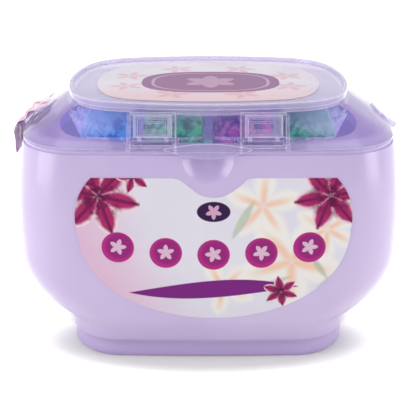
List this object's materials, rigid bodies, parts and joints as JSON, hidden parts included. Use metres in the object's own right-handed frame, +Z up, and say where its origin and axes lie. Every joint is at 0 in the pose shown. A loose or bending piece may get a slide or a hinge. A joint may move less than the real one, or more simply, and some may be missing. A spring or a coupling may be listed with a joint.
{
  "type": "laundry pod tub",
  "caption": "Lilac plastic tub of laundry pods with a foot, a deck collar, a hinged clear lid with press latches, printed labels and a seal strip.",
  "frame": {"origin": "centre of the underside, on the surface that the tub stands on", "axes": "+Z up, +X along the tub's long side, the front with the label and the thumb tab faces -Y"},
  "size_m": [0.1699, 0.1169, 0.116],
  "materials": {
    "lilac_plastic": "moulded lilac plastic, satin gloss",
    "clear_plastic": "clear plastic with a faint lilac haze",
    "printed_label": "printed film label",
    "seal_film": "printed seal film",
    "pod_blue": "blue liquid in clear film",
    "pod_green": "green liquid in clear film",
    "pod_purple": "purple liquid in clear film"
  },
  "bodies": {
    "tub": {"tub": "lilac_plastic", "collar": "lilac_plastic", "front_label": "printed_label", "pod_01": "pod_blue", "pod_02": "pod_green", "pod_03": "pod_purple", "pod_04": "pod_blue", "pod_05": "pod_green", "pod_06": "pod_purple", "pod_07": "pod_blue", "pod_08": "pod_green", "pod_09": "pod_purple", "pod_10": "pod_blue", "pod_11": "pod_green", "pod_12": "pod_purple", "pod_13": "pod_blue", "pod_14": "pod_green", "pod_15": "pod_blue", "pod_16": "pod_green", "pod_17": "pod_purple", "pod_18": "pod_green"},
    "lid": {"lid": "clear_plastic", "top_label": "printed_label", "seal_sticker": "seal_film"},
    "left_latch": {"latch_left": "clear_plastic"},
    "right_latch": {"latch_right": "clear_plastic"}
  },
  "joints": [
    {"name": "lid_hinge", "type": "hinge", "parent": "tub", "child": "lid", "pos_m": [0, 0.0572, 0.0988], "axis": [-1, 0, 0], "range_deg": [0, 110]},
    {"name": "left_latch_press", "type": "hinge", "parent": "lid", "child": "left_latch", "pos_m": [-0.0219, -0.05155, 0.10166], "axis": [-1, 0, 0], "range_deg": [0, 6], "stiffness_Nm_per_rad": 0.4},
    {"name": "right_latch_press", "type": "hinge", "parent": "lid", "child": "right_latch", "pos_m": [0.0219, -0.05155, 0.10166], "axis": [-1, 0, 0], "range_deg": [0, 6], "stiffness_Nm_per_rad": 0.4}
  ]
}
